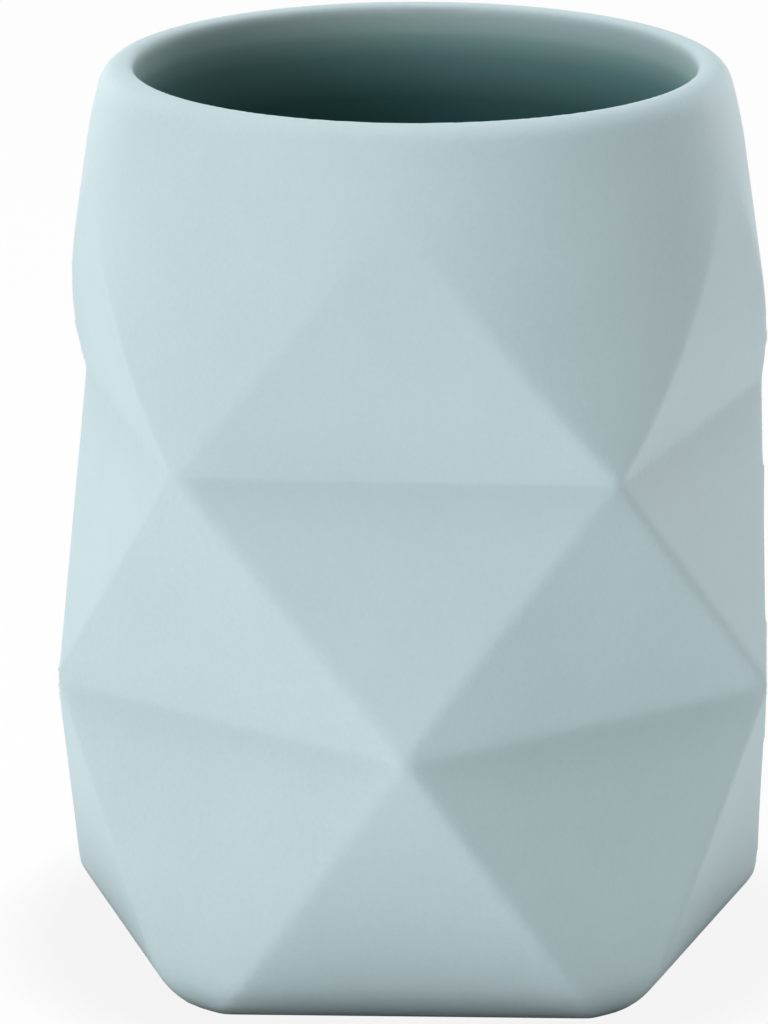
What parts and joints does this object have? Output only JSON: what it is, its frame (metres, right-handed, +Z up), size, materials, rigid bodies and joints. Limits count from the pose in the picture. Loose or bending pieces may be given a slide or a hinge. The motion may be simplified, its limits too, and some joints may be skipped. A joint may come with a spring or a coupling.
{
  "type": "bathroom tumbler",
  "caption": "Faceted bathroom tumbler with a round rounded-lip mouth, a smooth tapered inside and soft anti-slip pads under its base, for toothbrushes or water.",
  "frame": {"origin": "on the vessel's axis, at the surface that the pads stand on", "axes": "+Z up, out of the mouth; -Y towards the front, where the middle of an upper facet faces; +X to the right"},
  "size_m": [0.0777, 0.0805, 0.1],
  "materials": {
    "cast_resin": "matte",
    "pad_rubber": "matte"
  },
  "bodies": {
    "root": {"tumbler_body": "cast_resin", "foot_pad_1": "pad_rubber", "foot_pad_2": "pad_rubber", "foot_pad_3": "pad_rubber", "foot_pad_4": "pad_rubber", "foot_pad_5": "pad_rubber"}
  },
  "joints": []
}
